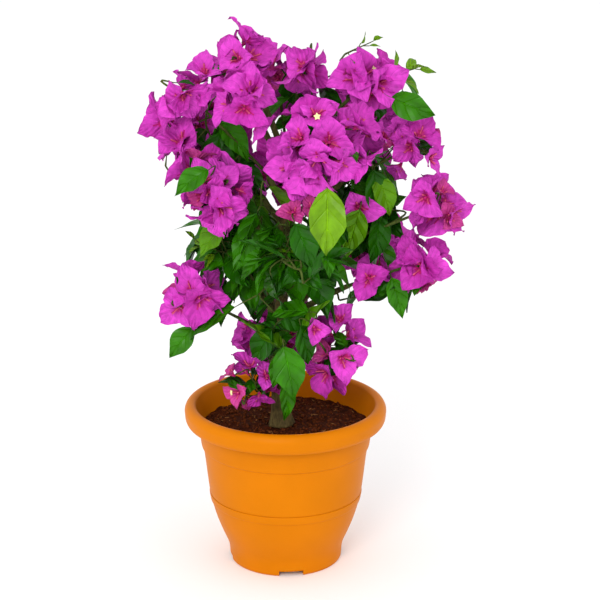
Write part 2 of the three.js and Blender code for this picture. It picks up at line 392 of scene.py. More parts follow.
def build_soil():
    """The mix as one closed body with a crumbled top."""
    edge = wall_radius(SOIL_TOP) - SOIL_GAP
    bottom = FLOOR_TOP + SOIL_GAP
    low, high = SOIL_SIDES
    side = [(wall_radius(z) - SOIL_GAP, z) for z in reversed(MOUTH_TO_FLOOR) if low < z < high]
    top = [(r, SOIL_TOP - SOIL_EDGE_DROP) for r in np.linspace(edge, 0.001, SOIL_RINGS)]
    foot = wall_radius(SOIL_FOOT_HEIGHT) - SOIL_FOOT_INSET
    profile = [(0, bottom), (foot, bottom), *side, *top, (0, SOIL_TOP)]
    points, faces = turned(profile, SOIL_SEGMENTS)
    for point in points:
        if point[2] > CRUMBLE_FROM:
            point[2] = soil_height(point[0], point[1])
    soil = new_piece("soil_bed", points, faces, potting_mix("damp mix", SOIL_BROWN, 180, 0.55))
    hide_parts("soil")


def scattered_bits(name, count, colour, smallest, largest, flatness):
    """Loose bits of the mix lying on it: little rough lumps, or slivers where flatness is low."""
    ball = bmesh.new()
    bmesh.ops.create_icosphere(ball, subdivisions=1, radius=1)
    shape = np.array([v.co for v in ball.verts])
    triangles = np.array([[v.index for v in f.verts] for f in ball.faces])
    ball.free()
    reach = wall_radius(SOIL_TOP) - BITS_EDGE_GAP
    points = []
    faces = []
    for _ in range(count):
        turn = soil_random.uniform(0, 2 * math.pi)
        out = reach * math.sqrt(soil_random.uniform(0, 1))
        x, y = out * math.cos(turn), out * math.sin(turn)
        size = soil_random.uniform(smallest, largest)
        rough = shape * soil_random.uniform(0.65, 1.25, (len(shape), 1))
        rough = rough * size * np.array([1.0, flatness, flatness])
        spin = soil_random.uniform(0, 2 * math.pi)
        c, s = math.cos(spin), math.sin(spin)
        rough = rough @ np.array([[c, s, 0], [-s, c, 0], [0, 0, 1]])
        faces += (triangles + len(points) * len(shape)).tolist()
        points.append(rough + [x, y, soil_height(x, y) + size * flatness * 0.3])
    bits = new_piece(name, np.vstack(points), faces, potting_mix(name, colour, 400, 0.5))


build_soil()
scattered_bits("soil_crumbs", CRUMB_COUNT, CRUMB_BROWN, 0.0010, 0.0030, flatness=0.8)
scattered_bits("soil_husks", HUSK_COUNT, HUSK_TAN, 0.0020, 0.0060, flatness=0.18)

# ---- The trunk and the boughs ---------------------------------------------------------------
# One woody stem with flaking grey-brown bark, upright and a little crooked, swelling where it
# enters the soil. Boughs leave it at steep angles and arch outwards, greener and smoother
# towards their tips.
BARK_BROWN = (0.105, 0.078, 0.026, 1)
BARK_GREEN = (0.085, 0.085, 0.022, 1)
BARK_RIDGES = 9
BARK_RELIEF = 0.09
TRUNK_STATIONS, BOUGH_STATIONS = 30, 8
TRUNK_SIDES, BOUGH_SIDES = 28, 12
LIMB_CURVE_STEPS = 5
TRUNK_WANDER, WANDERS_PER_METRE = 0.0012, 45
STILL_RINGS = 10  # rings at the trunk's foot that don't wander
limb_random = np.random.default_rng(5)


def node_mesh(name):
    """A CAD node's mesh in the frame, to be freed after use."""
    mesh = bmesh.new()
    mesh.from_mesh(nodes[name].data)
    mesh.transform(nodes[name].matrix_world)
    return mesh


def section(name, point, direction):
    """The middle and the mean radius of a CAD limb cut across at a point."""
    mesh = node_mesh(name)
    found = bmesh.ops.bisect_plane(mesh, geom=[*mesh.verts, *mesh.edges, *mesh.faces],
                                   plane_co=point, plane_no=direction)
    ring = [e for e in found["geom_cut"] if isinstance(e, bmesh.types.BMVert)]
    spots = np.array([v.co for v in ring])
    mesh.free()
    middle = spots.mean(0)
    return middle, float(np.linalg.norm(spots - middle, axis=1).mean())


def trunk_line():
    """The trunk's middle line and radii from the soil to the tip."""
    low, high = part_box("trunk")
    heights = np.linspace(low[2] + 0.0004, high[2] - 0.004, TRUNK_STATIONS)
    cuts = [section("trunk", (0, 0, z), (0, 0, 1)) for z in heights]
    return np.array([c[0] for c in cuts]), np.array([c[1] for c in cuts])


def bough_line(name, trunk_points):
    """A bough's middle line and radii from inside the trunk to where it enters its clump."""
    mesh = node_mesh(name)
    spots = np.array([v.co for v in mesh.verts])
    mesh.free()
    gaps = np.linalg.norm(spots[:, None] - trunk_points[None], axis=2).min(1)
    root = spots[gaps.argsort()[:4]].mean(0)
    tip = spots[np.linalg.norm(spots - root, axis=1).argsort()[-3:]].mean(0)
    along = tip - root
    cuts = [section(name, root + along * share, along)
            for share in np.linspace(0.1, 0.95, BOUGH_STATIONS)]
    points = np.array([c[0] for c in cuts])
    radii = np.array([c[1] for c in cuts])
    start = 2 * points[0] - points[2]
    inner = trunk_points[np.linalg.norm(trunk_points - start, axis=1).argmin()]
    return np.vstack([inner, points]), np.array([radii[0] * 1.15, *radii])


def tube(points, radii, sides, ridges=0, turn=0):
    """Points, faces and lengthwise uv of a closed tube along a line, smooth or with bark ridges."""
    tangents = np.gradient(points, axis=0)
    tangents /= np.linalg.norm(tangents, axis=1)[:, None]
    across = np.cross(tangents[0], [0.3, 1.0, 0.1])
    rings = []
    uv = []
    run = np.concatenate([[0], np.linalg.norm(np.diff(points, axis=0), axis=1).cumsum()])
    angles = np.arange(sides) * 2 * math.pi / sides
    for point, tangent, radius, length in zip(points, tangents, radii, run):
        across = across - tangent * across.dot(tangent)
        across /= np.linalg.norm(across)
        over = np.cross(tangent, across)
        swell = 1 + ridges * np.sin(angles * BARK_RIDGES + turn + 40 * length)
        swell += ridges * np.sin(angles * 4 - turn * 2 - 90 * length)
        rings.append(point + (radius * swell)[:, None]
                     * (np.cos(angles)[:, None] * across + np.sin(angles)[:, None] * over))
        uv += [(length * 10, i / sides) for i in range(sides)]
    n = len(rings)
    faces = [tuple(reversed(range(sides))), tuple(range((n - 1) * sides, n * sides))]
    for k in range(n - 1):
        for i in range(sides):
            j = (i + 1) % sides
            faces.append((k * sides + i, k * sides + j, (k + 1) * sides + j, (k + 1) * sides + i))
    return np.vstack(rings), faces, uv


class Pile:
    """Parts of one kind that become one piece."""

    def __init__(self):
        self.points, self.faces, self.uv, self.count = [], [], [], 0

    def add(self, points, faces, uv):
        """Adds a part's points, its faces and its uv."""
        self.points.append(points)
        self.faces += [tuple(self.count + i for i in face) for face in faces]
        self.uv.append(np.asarray(uv))
        self.count += len(points)

    def piece(self, name, material):
        """The joined piece."""
        return new_piece(name, np.vstack(self.points), self.faces, material, np.vstack(self.uv))


def bark(name, colour, relief):
    """Bark with long cracks that run with the stem, lighter on the ridges."""
    material, tree, shader = new_material(name)
    where = add_node(tree, "ShaderNodeTexCoord").outputs["Object"]
    stretched = add_node(tree, "ShaderNodeMapping", {"Vector": where, "Scale": (1, 1, 0.22)})
    cracks = add_node(tree, "ShaderNodeTexNoise",
                      {"Vector": stretched.outputs["Vector"], "Scale": 420, "Detail": 6,
                       "Roughness": 0.65}).outputs["Fac"]
    tone = toned(tree, colour, 60, 0.3)
    ridge = remapped(tree, cracks, 0.35, 0.65, 0.55, 1.35)
    tree.links.new(lightened(tree, tone["Color"], ridge), shader.inputs["Base Color"])
    add_relief(tree, shader, cracks, 0.9, relief)
    set_finish(shader, roughness=0.8, specular=0.15)
    return material


trunk_points, trunk_radii = trunk_line()
smooth_trunk = spline(trunk_points, LIMB_CURVE_STEPS)
smooth_trunk_radii = spline(trunk_radii[:, None], LIMB_CURVE_STEPS)[:, 0]
wander = np.array([noise.noise_vector(Vector(p) * WANDERS_PER_METRE) for p in smooth_trunk])
wander *= TRUNK_WANDER
wander[:STILL_RINGS] = 0
points, faces, uv = tube(smooth_trunk + wander, smooth_trunk_radii, TRUNK_SIDES, BARK_RELIEF / 2,
                         turn=0.7)
trunk = new_piece("trunk_bark", points, faces, bark("trunk bark", BARK_BROWN, 0.0012), uv)
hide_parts("trunk")

boughs = {}
for name in sorted(n for n in nodes if n.startswith("bough_to_")):
    boughs[name] = bough_line(name, trunk_points)
bough_pile = Pile()
for line, radii in boughs.values():
    smooth_radii = spline(radii[:, None], LIMB_CURVE_STEPS)[:, 0]
    bough_pile.add(*tube(spline(line, LIMB_CURVE_STEPS), smooth_radii, BOUGH_SIDES,
                         BARK_RELIEF / 2, limb_random.uniform(0, 6)))
bough_bark = bough_pile.piece("bough_bark", bark("bough bark", BARK_GREEN, 0.0008))
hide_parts(*boughs)

# ---- How the crown grows --------------------------------------------------------------------
# Flower stalks and leafy shoots end at seeded places just inside each clump's surface, and stay
# out of the gaps between clumps. Each one's twig then grows from the nearest wood that lies
# further in, so twigs branch from the boughs and from older twigs.
UP = np.array([0, 0, 1.0])
FRONT = np.array([0, -1.0, 0])
grow_random = np.random.default_rng(99)
LEAFY = sorted(n for n in nodes if n.startswith("leaves_"))
FLOWERY = sorted(n for n in nodes if n.startswith("blossom_"))
SIDE_REACH = 0.15  # further out than any clump's surface


class Clump:
    """A clump's CAD solid: its middle, and places and tests on its surface."""

    def __init__(self, name):
        mesh = node_mesh(name)
        bmesh.ops.triangulate(mesh, faces=mesh.faces)
        self.tree = BVHTree.FromBMesh(mesh)
        self.corners = np.array([[v.co for v in f.verts] for f in mesh.faces])
        mesh.free()
        self.middle = (self.corners.min((0, 1)) + self.corners.max((0, 1))) / 2
        edges = self.corners[:, 1:] - self.corners[:, :1]
        self.normals = np.cross(edges[:, 0], edges[:, 1])
        self.areas = np.linalg.norm(self.normals, axis=1) / 2
        self.normals /= self.areas[:, None] * 2

    def holds(self, point):
        """True if a point is inside."""
        spot, normal, _, _ = self.tree.find_nearest(Vector(point))
        return (Vector(point) - spot).dot(normal) < 0

    def surface(self, count):
        """So many seeded points on the surface, with the way out at each, softened towards the
        way out from the middle."""
        which = grow_random.choice(len(self.areas), count, p=self.areas / self.areas.sum())
        a, b = grow_random.uniform(0, 1, (2, count, 1))
        flip = a + b > 1
        a, b = np.where(flip, 1 - a, a), np.where(flip, 1 - b, b)
        c = self.corners[which]
        spots = c[:, 0] + a * (c[:, 1] - c[:, 0]) + b * (c[:, 2] - c[:, 0])
        radial = spots - self.middle
        radial /= np.linalg.norm(radial, axis=1)[:, None]
        ways = self.normals[which] + radial
        return spots, ways / np.linalg.norm(ways, axis=1)[:, None]

    def side(self, way):
        """The place on the surface nearest to a spot well out from the middle, one way."""
        far = self.middle + unit(np.array(way, float)) * SIDE_REACH
        return np.array(self.tree.find_nearest(Vector(far))[0])


clumps = {name: Clump(name) for name in LEAFY + FLOWERY}


def stray(point):
    """How far a point is outside all the clumps, or 0 inside one."""
    gaps = []
    for clump in clumps.values():
        if clump.holds(point):
            return 0.0
        gaps.append(clump.tree.find_nearest(Vector(point))[3])
    return min(gaps)


def unit(vector):
    """A vector at length 1."""
    return vector / np.linalg.norm(vector)


def jitter(amount):
    """A small seeded vector."""
    return grow_random.normal(0, amount, 3)


twig_ends = []  # where each twig ends, the way it ends there, and its radius
stem_pile = Pile()
STEM_SIDES = 5
STALK_RADIUS = 0.0008  # of the twig under a flower or a single leaf


def add_stem(line, thick, thin, sides=STEM_SIDES):
    """A smooth thin stem along a line, from one radius to another."""
    stem_pile.add(*tube(line, np.linspace(thick, thin, len(line)), sides))


def spread(names, tries, spacing, hidden, taken=()):
    """Seeded (spot, way out, clump name) places over several clumps, each at least the spacing
    from the others and from those taken. Places that another clump hides are left out."""
    kept = []
    taken = np.array(taken).reshape(-1, 3)
    for name in names:
        for spot, way in zip(*clumps[name].surface(tries)):
            if len(taken) and np.linalg.norm(taken - spot, axis=1).min() < spacing:
                continue
            if any(clumps[n].holds(spot + way * hidden) for n in clumps if n != name):
                continue
            kept.append((spot, way, name))
            taken = np.vstack([taken, spot])
    return kept


# ---- The blossom ----------------------------------------------------------------------------
# Each flower is three papery magenta bracts round three thin salmon tubes, some opened into a
# small cream star. The bracts are crimson where they join and along their midribs.
BRACT_LENGTH = (0.029, 0.041)
BRACT_WIDTH = 0.47  # half the width, as a share of the length
BRACT_ROWS = np.linspace(0, 1, 11)
BRACT_COLUMNS = np.array([-1, -0.64, -0.30, -0.06, 0.06, 0.30, 0.64, 1])
BLOOM_SPACING = 0.0330
# The deep tint is a darker copy of the bright magenta. It is partly older bracts and partly painted
# shade, standing in for flowers that lie in the shadow of others.
BRACT_TINTS = {
    "bright": (0.62, 0.052, 0.50, 1),
    "deep": (0.52, 0.034, 0.40, 1),
    "rosy": (0.54, 0.050, 0.27, 1),
}
HEART_CRIMSON = (0.43, 0.012, 0.15, 1)
TUBE_SALMON = (0.64, 0.10, 0.19, 1)
STAR_CREAM = (0.92, 0.86, 0.40, 1)
TUBE_LENGTH, TUBE_RADIUS = 0.014, 0.0009
STAR_RADIUS = 0.0046
# DEEP_SHARE is the share of flowers given the darker deep tint, partly for age and partly as
# painted shade.
DEEP_SHARE, OPENED_SHARE = 0.28, 0.14
BLOOM_UP, BLOOM_FORWARD, BLOOM_JITTER = 0.15, 0.20, 0.26  # how a flower turns from its way out
BLOOM_DEPTH = (0.45, 0.85)  # how deep its base lies in the clump, as shares of its length
BLOOM_OPENNESS = (0.70, 1.05)  # how far its bracts lean out from its axis
# How far apart a clump's flowers stand, how large they are, and the share of them that are young
# rosy ones. The last row is for the clumps that have none of their own.
FLOWER_MANNER = {
    "blossom_front": (0.95, 1.05, 0.06),
    "blossom_left_low": (1.35, 1.2, 0.03),
    "blossom_left_middle": (1.0, 1.0, 0.10),
    "blossom_right_low": (1.20, 1.0, 0.06),
    "blossom_right_outer": (0.90, 0.9, 0.08),
    "blossom_right_upper": (0.95, 0.85, 0.10),
    "blossom_skirt_left": (1.10, 0.75, 0.35),
    "blossom_skirt_right": (1.20, 0.9, 0.20),
    "any other": (1.0, 1.0, 0.06),
}
ROSY_SIZE = 0.7
# Flowers that stand by themselves in the leaves: the clump, the side they show on, the length.
LONE_FLOWERS = [
    ("leaves_right", (0.1, -1, 0), 0.036, "bright"),
    # The deep tint on this flower is partly painted shade.
    ("leaves_low_right", (-0.2, -1, 0.4), 0.030, "deep"),
    ("leaves_front", (-0.4, -0.7, 1), 0.022, "rosy"),
    ("leaves_front", (-0.1, -0.7, 1), 0.020, "rosy"),
    ("leaves_low_front", (0.6, -1, 0), 0.022, "bright"),
]


def bract_outline(u):
    """Half the bract's width along it: broad and rounded at the base, pointed at the tip."""
    return np.sin(math.pi * u**0.66) ** 0.74 * (1 - 0.25 * np.clip((u - 0.6) / 0.4, 0, 1))


def blade(rows, columns, outline, half_width, bend, fold, cup, wave, phase):
    """Points, faces and uv of a blade that grows along x with its face towards z. bend turns its
    tip down, fold raises both sides from the midrib, cup curls the edges up, wave ruffles them."""
    u, v = np.meshgrid(rows, columns, indexing="ij")
    slope = 0.35 * bend - bend * rows
    steps = np.diff(rows, prepend=0)
    run = np.cumsum(np.cos(slope) * steps)
    rise = np.cumsum(np.sin(slope) * steps)
    half = half_width * outline(rows)
    y = half[:, None] * v * (1 - 0.12 * cup * np.abs(v))
    y *= 1 + 0.45 * wave * np.abs(v) * np.sin(u * 21 + 3 * phase + np.sign(v))
    lift = fold * np.abs(v) * half[:, None] + cup * v**2 * half[:, None]
    lift += wave * half_width * np.abs(v) ** 1.5 * np.sin(u * 9 + phase + v * 2)
    lift += 0.5 * wave * half_width * np.abs(v) * np.sin(u * 19 + 2 * phase - v * 3)
    x = run[:, None] - lift * np.sin(slope)[:, None]
    z = rise[:, None] + lift * np.cos(slope)[:, None]
    n = len(columns)
    faces = [
        (i * n + j, (i + 1) * n + j, (i + 1) * n + j + 1, i * n + j + 1)
        for i in range(len(rows) - 1)
        for j in range(n - 1)
    ]
    uv = np.column_stack([u.ravel(), v.ravel() / 2 + 0.5])
    return np.column_stack([x.ravel(), y.ravel(), z.ravel()]), faces, uv


def standing(points, base, along, face, size):
    """Blade points moved to a base, growing along one way with their face towards another."""
    along = unit(along)
    face = unit(face - along * face.dot(along))
    side = np.cross(face, along)
    return base + size * (points @ np.array([along, side, face]))


bract_piles = {tint: Pile() for tint in BRACT_TINTS}
heart_pile, tube_pile, star_pile = Pile(), Pile(), Pile()
bloom_spots = []
bloom_reach = []


def in_heart(row, column):
    """True for a bract's faces in the crimson heart: its base, and its midrib further up."""
    return row < (4, 2, 1, 0)[abs(column - 3)]


def add_bract(base, along, face, length, tint):
    """One bract, its heart kept apart from its blade."""
    points, faces, uv = blade(BRACT_ROWS, BRACT_COLUMNS, bract_outline,
                              half_width=BRACT_WIDTH * grow_random.uniform(0.9, 1.1),
                              bend=grow_random.uniform(0.3, 1.1), fold=0.08,
                              cup=grow_random.uniform(0.0, 0.35),
                              wave=grow_random.uniform(0.06, 0.17),
                              phase=grow_random.uniform(0, 6))
    placed = standing(points, base, along, face, length)
    wide = len(BRACT_COLUMNS) - 1
    heart = [f for k, f in enumerate(faces) if in_heart(k // wide, k % wide)]
    rest = [f for k, f in enumerate(faces) if not in_heart(k // wide, k % wide)]
    bract_piles[tint].add(placed, rest, uv)
    heart_pile.add(placed, heart, uv)


def add_tube(base, along, length, opened):
    """One flower tube, swollen to a bud at its tip or opened into a five-pointed star."""
    line = base + along * length * np.array([0, 0.3, 0.6, 0.85, 1.0])[:, None]
    radii = TUBE_RADIUS * np.array([1.0, 1.2, 0.9, 1.3, 1.4 if opened else 0.6])
    tube_pile.add(*tube(line, radii, 5))
    if not opened:
        return
    side = unit(np.cross(along, [0.2, 0.3, 1]))
    over = np.cross(along, side)
    middle = line[-1] + along * 0.0002
    rim = [
        middle + STAR_RADIUS * (1.0, 0.6)[k % 2] * (side * math.cos(a) + over * math.sin(a))
        + along * 0.0008
        for k, a in enumerate(np.linspace(0, 2 * math.pi, 10, endpoint=False))
    ]
    faces = [(0, 1 + k, 1 + (k + 1) % 10) for k in range(10)]
    star_pile.add(np.array([middle, *rim]), faces, np.zeros((11, 2)))


def add_bloom(base, axis, length, tint, open_flowers, openness):
    """One flower: three bracts round the axis on a small knob, with a tube against each."""
    heart_pile.add(*tube(base + axis * np.array([-0.005, 0, 0.004])[:, None],
                         np.array([0.0010, 0.0028, 0.0022]), 6))
    side = unit(np.cross(axis, [0.31, 0.57, 0.76]))
    over = np.cross(axis, side)
    start = grow_random.uniform(0, 2 * math.pi)
    for k in range(3):
        turn = start + k * 2 * math.pi / 3 + grow_random.normal(0, 0.15)
        out = side * math.cos(turn) + over * math.sin(turn)
        lean = openness + grow_random.normal(0, 0.14)
        along = axis * math.cos(lean) + out * math.sin(lean)
        face = axis * math.sin(lean) - out * math.cos(lean)
        add_bract(base + out * 0.0015, along, face + jitter(0.14),
                  length * grow_random.uniform(0.86, 1.08), tint)
        tube_way = unit(axis + out * 0.55 + jitter(0.06))
        add_tube(base + out * 0.002, tube_way, TUBE_LENGTH * length / 0.038, k < open_flowers)
    twig_ends.append((base, axis, STALK_RADIUS))
    bloom_spots.append(base + axis * length * 0.5)
    bloom_reach.append(length)


def grow_blossom():
    """Flowers over the blossom clumps, facing out and a little up and forward, with young rosy
    ones here and there, and the few that stand by themselves."""
    for name in FLOWERY:
        apart, large, rosy_share = FLOWER_MANNER.get(name, FLOWER_MANNER["any other"])
        for spot, way, _ in spread([name], tries=500, spacing=BLOOM_SPACING * apart,
                                   hidden=0.003, taken=bloom_spots):
            axis = unit(way + UP * BLOOM_UP + FRONT * BLOOM_FORWARD + jitter(BLOOM_JITTER))
            pick = grow_random.uniform(0, 1)
            young = pick < rosy_share
            # Some flowers take the darker deep tint at random: partly older bracts, partly painted
            # shade.
            tint = "rosy" if young else "deep" if pick < rosy_share + DEEP_SHARE else "bright"
            length = grow_random.uniform(*BRACT_LENGTH) * large * (ROSY_SIZE if young else 1)
            opened = int(grow_random.uniform(0, 1) < OPENED_SHARE)
            base = spot - way * length * grow_random.uniform(*BLOOM_DEPTH)
            add_bloom(base, axis, length, tint, opened, grow_random.uniform(*BLOOM_OPENNESS))
    for name, side, length, tint in LONE_FLOWERS:
        axis = unit(unit(np.array(side, float)) + FRONT * 0.5 + jitter(0.1))
        base = clumps[name].side(side) - axis * length * 0.4
        add_bloom(base, axis, length, tint, open_flowers=0, openness=0.9)


def blade_veins():
    """A node group for what lies along a blade: the place along it, how far aside of the midrib,
    the flesh that swells between slanting side veins, and the veins themselves as a mask."""
    group = bpy.data.node_groups.new("Blade veins", "ShaderNodeTree")
    for name in ("Slant", "Count", "Width"):
        group.interface.new_socket(name, in_out="INPUT", socket_type="NodeSocketFloat")
    for name in ("Along", "Aside", "Swell", "Vein"):
        group.interface.new_socket(name, in_out="OUTPUT", socket_type="NodeSocketFloat")
    given = add_node(group, "NodeGroupInput").outputs
    place = add_node(group, "ShaderNodeSeparateXYZ",
                     {0: add_node(group, "ShaderNodeUVMap", uv_map="Blade").outputs["UV"]}).outputs
    off = add_node(group, "ShaderNodeMath", {0: place["Y"], 1: 0.5}, operation="SUBTRACT")
    aside = add_node(group, "ShaderNodeMath", {0: off.outputs[0]}, operation="ABSOLUTE").outputs[0]
    slant = times_plus(group, aside, given["Slant"], place["X"])
    count = add_node(group, "ShaderNodeMath", {0: slant, 1: given["Count"]}, operation="MULTIPLY")
    swell = add_node(group, "ShaderNodeMath", {0: count.outputs[0], 1: 1.0},
                     operation="PINGPONG").outputs[0]
    vein = remapped(group, swell, 0.0, given["Width"], 1.0, 0.0)
    add_node(group, "NodeGroupOutput",
             {"Along": place["X"], "Aside": aside, "Swell": swell, "Vein": vein})
    return group


VEINS = blade_veins()


def veined(tree, slant, count, width):
    """A Blade veins group placed in a material. Its outputs are Along, Aside, Swell and Vein."""
    return add_node(tree, "ShaderNodeGroup", {"Slant": slant, "Count": count, "Width": width},
                    node_tree=VEINS).outputs


def bract_paper(name, colour):
    """A bract's thin papery skin: it warms to crimson at its base, and fine darker veins fan out
    from there."""
    material, tree, shader = new_material(name)
    blade_map = veined(tree, slant=-1.3, count=6.0, width=0.14)
    tone = toned(tree, colour, 130, 0.20)
    lift = times_plus(tree, blade_map["Vein"], -0.28, 1.03)
    shade = lightened(tree, tone["Color"], lift)
    from_base = times_plus(tree, blade_map["Aside"], 0.7, blade_map["Along"])
    warmth = remapped(tree, from_base, 0.12, 0.46, 0.8, 0.0, interpolation_type="SMOOTHSTEP")
    mixed = add_node(tree, "ShaderNodeMix", {0: warmth, 6: shade, 7: HEART_CRIMSON},
                     data_type="RGBA")
    tree.links.new(mixed.outputs[2], shader.inputs["Base Color"])
    add_relief(tree, shader, blade_map["Swell"], 0.9, 0.0010)
    set_finish(shader, roughness=0.65, specular=0.15)
    return material


def soft_skin(name, colour):
    """Plain petal or tube flesh with a slight drift of tone."""
    material, tree, shader = new_material(name)
    tree.links.new(toned(tree, colour, 150, 0.15)["Color"], shader.inputs["Base Color"])
    set_finish(shader, roughness=0.6, specular=0.2)
    return material


grow_blossom()
bract_pieces = [
    bract_piles[tint].piece("bracts_" + tint, bract_paper(tint + " bract", colour))
    for tint, colour in BRACT_TINTS.items()
]
bract_pieces.append(heart_pile.piece("bract_hearts", soft_skin("bract heart", HEART_CRIMSON)))
bract_pieces.append(tube_pile.piece("flower_tubes", soft_skin("flower tube", TUBE_SALMON)))
bract_pieces.append(star_pile.piece("flower_stars", soft_skin("flower star", STAR_CREAM)))
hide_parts(*FLOWERY)

# ---- The leaves -----------------------------------------------------------------------------
# Soft, pointed oval leaves on short stalks, in turns round each shoot. They fold a little
# along the midrib and arch over to a drooping tip. Old ones are dark and glossy, younger ones
# brighter, and the newest lime. Leaves that face up are also given the lighter greens more
# often, and those that face down the darker ones, as painted light and painted shade.
LEAF_WIDTH = 0.275  # half the width, as a share of the length
LEAF_ROWS = np.linspace(0, 1, 13)
LEAF_COLUMNS = np.array([-1, -0.66, -0.33, 0, 0.33, 0.66, 1])
# The lighter greens are partly younger leaves and partly painted light. The darker ones are partly
# older leaves and partly painted shade. tint_by_light gives the lighter ones to leaves that face
# up.
LEAF_GREENS = {
    "dark": (0.013, 0.102, 0.000, 1),
    "mid": (0.030, 0.180, 0.000, 1),
    "bright": (0.095, 0.270, 0.002, 1),
    "lime": (0.150, 0.330, 0.004, 1),
}
SHOOT_SPACING = 0.054
UNDER_SPACING = 0.046
HANGING_SPACING = 0.024
HANGING_LENGTH = (0.052, 0.076)
SHOOT_LENGTH = 0.045
SHOOT_LEAVES = 5
SHOOT_POINTS = 5
UNDER_LENGTH, UNDER_LEAVES = 0.015, 3
FRESH_LENGTH, FRESH_OUT = 0.034, 0.016
SHOOT_FOOT, SHOOT_TIP, SHOOT_RADIUS = 0.0013, 0.0006, 0.0012  # the last is its twig's
FLOWER_ROOM = 0.50  # how near a flower keeps leaves off, as a share of its length
GOLDEN_TURN = 2.4
STALK_LENGTH = 0.007
STRAY_TIP = 0.008  # how far a leaf's tip may reach out of the clumps
# The clumps at the crown's edge are thinner, and sky shows between their shoots: how much
# further apart those stand than elsewhere.
THIN_CLUMPS = {
    "leaves_left": 1.2,
    "leaves_low_left": 1.2,
    "leaves_low_right": 1.5,
    "leaves_right": 1.4,
    "leaves_top": 1.4,
    "leaves_upper_right": 1.3,
}
# Large leaves that stand out of the crown: the clump, the side they show on, the way they grow,
# the length and the tint. The largest, a lime one, hangs under the front blossom.
LARGE_LEAVES = [
    ("blossom_front", (0.05, -0.7, -0.8), (0, -0.1, -1), 0.086, "lime"),
    ("leaves_right", (-0.4, -1, 0.1), (-0.3, -0.3, -1), 0.062, "bright"),
    ("leaves_right", (0.3, -0.8, 0.8), (0.4, -0.2, -1), 0.055, "bright"),
    ("blossom_left_middle", (-0.2, -0.7, 0.8), (-0.8, -0.3, -0.5), 0.052, "mid"),
    ("blossom_top_right", (0.5, -0.8, -0.5), (1, -0.2, -0.4), 0.060, "mid"),
    ("leaves_left", (-0.8, -0.4, 0.6), (-0.7, -0.2, -0.8), 0.060, "bright"),
    ("leaves_low_right", (0.2, -0.8, 0.4), (0.3, -0.2, -1), 0.054, "mid"),
    ("leaves_low_left", (-0.8, -0.4, -0.5), (-0.7, -0.1, -0.8), 0.052, "mid"),
    ("leaves_low_front", (0.3, -1, -0.3), (0.2, -0.1, -1), 0.070, "mid"),
    ("leaves_low_front", (-0.2, -0.6, -1), (-0.3, -0.2, -1), 0.050, "mid"),
    ("blossom_skirt_left", (0.9, -0.6, 0), (0.1, -0.3, -1), 0.052, "mid"),
    ("blossom_skirt_left", (0.7, -0.2, 0.7), (0.6, -0.5, -0.4), 0.040, "bright"),
]
# Fresh shoots that reach out of the crown: the clump, the side that each leaves by, the way it
# grows and the length of its leaves.
FRESH_SHOOTS = [
    ("blossom_top_right", (0.9, -0.4, 0.1), (1, 0, 0.4), 0.028),
    ("blossom_top_right", (-0.3, -0.1, 1), (0.9, 0, 0.45), 0.018),
    ("leaves_left", (-0.9, -0.2, 0.6), (-1, -0.1, 0.5), 0.024),
    ("blossom_back_right", (0.5, 0.8, 0.5), (0.3, 0.8, 0.7), 0.022),
]


def leaf_outline(u):
    """Half the leaf's width along it, up to 1 at its widest."""
    return np.sin(math.pi * u**0.80) ** 0.85 * (1 - 0.45 * np.clip((u - 0.55) / 0.45, 0, 1))


leaf_piles = {tint: Pile() for tint in LEAF_GREENS}


def add_leaf(base, along, face, length, tint):
    """One leaf on its stalk."""
    along = unit(along)
    start = base - along * STALK_LENGTH
    stem_pile.add(*tube(np.linspace(start, base + along * length * 0.03, 3),
                        np.array([0.0007, 0.0006, 0.0006]), STEM_SIDES))
    points, faces, uv = blade(LEAF_ROWS, LEAF_COLUMNS, leaf_outline,
                              half_width=LEAF_WIDTH * grow_random.uniform(0.85, 1.1),
                              bend=grow_random.uniform(0.2, 1.0),
                              fold=grow_random.uniform(0.10, 0.40), cup=0.05,
                              wave=grow_random.uniform(0.03, 0.10),
                              phase=grow_random.uniform(0, 6))
    leaf_piles[tint].add(standing(points, base, along, face, length), faces, uv)


def among_flowers(points):
    """True if any of the points is between a flower's bracts."""
    gaps = np.linalg.norm(points[:, None] - np.array(bloom_spots)[None], axis=2)
    return bool((gaps < np.array(bloom_reach) * FLOWER_ROOM).any())


def add_shoot(tip, way, reach, leaf_length, count, tint, droop, fresh=False):
    """A leafy shoot that ends near tip: its stem, and leaves in turns round it that get smaller
    towards the tip. The twig that carries it is noted. Only a fresh shoot may reach out of the
    crown or through the flowers."""
    root = tip - way * reach
    t = np.linspace(0, 1, SHOOT_POINTS)[:, None]
    line = root + (tip - root) * t + np.array([0, 0, -1]) * droop * reach * 0.3 * t**2
    if among_flowers(line[-2:]) and not fresh:
        return
    add_stem(line, SHOOT_FOOT, SHOOT_TIP)
    twig_ends.append((root, way, SHOOT_RADIUS))
    side = unit(np.cross(way, [0.31, 0.57, 0.76]))
    over = np.cross(way, side)
    turn = grow_random.uniform(0, 2 * math.pi)
    for k in range(count):
        share = (k + 0.6) / count
        at = root + (line[-1] - root) * share
        turn += GOLDEN_TURN
        out = side * math.cos(turn) + over * math.sin(turn)
        spread_angle = 1.25 - 0.85 * share + grow_random.normal(0, 0.1)
        along = way * math.cos(spread_angle) + out * math.sin(spread_angle)
        along = unit(along + np.array([0, 0, -droop]) + jitter(0.10))
        face = way * 0.75 + UP * 0.6 + FRONT * 0.35 + jitter(0.15)
        length = leaf_length * (1.1 - 0.4 * share) * grow_random.uniform(0.85, 1.1)
        midrib = at + along * (STALK_LENGTH + length * np.array([0.2, 0.5, 0.8, 1.0])[:, None])
        if not fresh and (stray(midrib[-1]) > STRAY_TIP or among_flowers(midrib)):
            continue
        add_leaf(at + along * STALK_LENGTH, along, face, length, tint)


